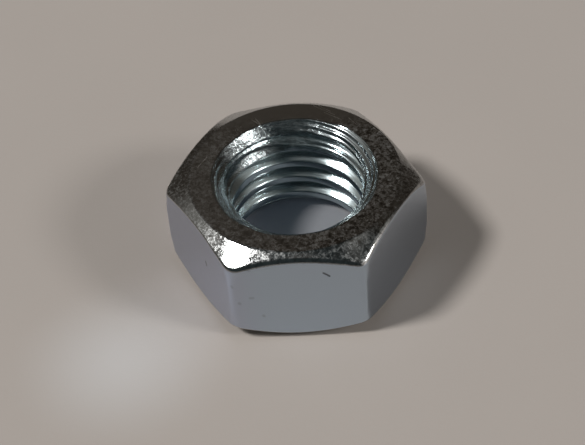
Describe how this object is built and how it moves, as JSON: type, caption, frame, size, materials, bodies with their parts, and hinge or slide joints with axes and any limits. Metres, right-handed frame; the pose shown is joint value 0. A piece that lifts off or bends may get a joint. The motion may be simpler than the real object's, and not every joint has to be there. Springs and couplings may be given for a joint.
{
  "type": "hex nut",
  "caption": "Plain hexagon nut, bevelled on both faces, with a countersunk right-hand coarse metric thread, in bright zinc-plated steel.",
  "frame": {"origin": "middle of the lower bearing face, on the thread's axis", "axes": "+Z along the thread's axis, up through the nut; +X through two opposite corners; -Y is the outward normal of the front flat"},
  "size_m": [0.0242, 0.021, 0.0105],
  "materials": {
    "zinc_plated_steel": "bright zinc plate over steel, satin flats, near-mirror end faces, with handling scratches and small dents"
  },
  "bodies": {
    "root": {"hex_nut": "zinc_plated_steel"}
  },
  "joints": []
}
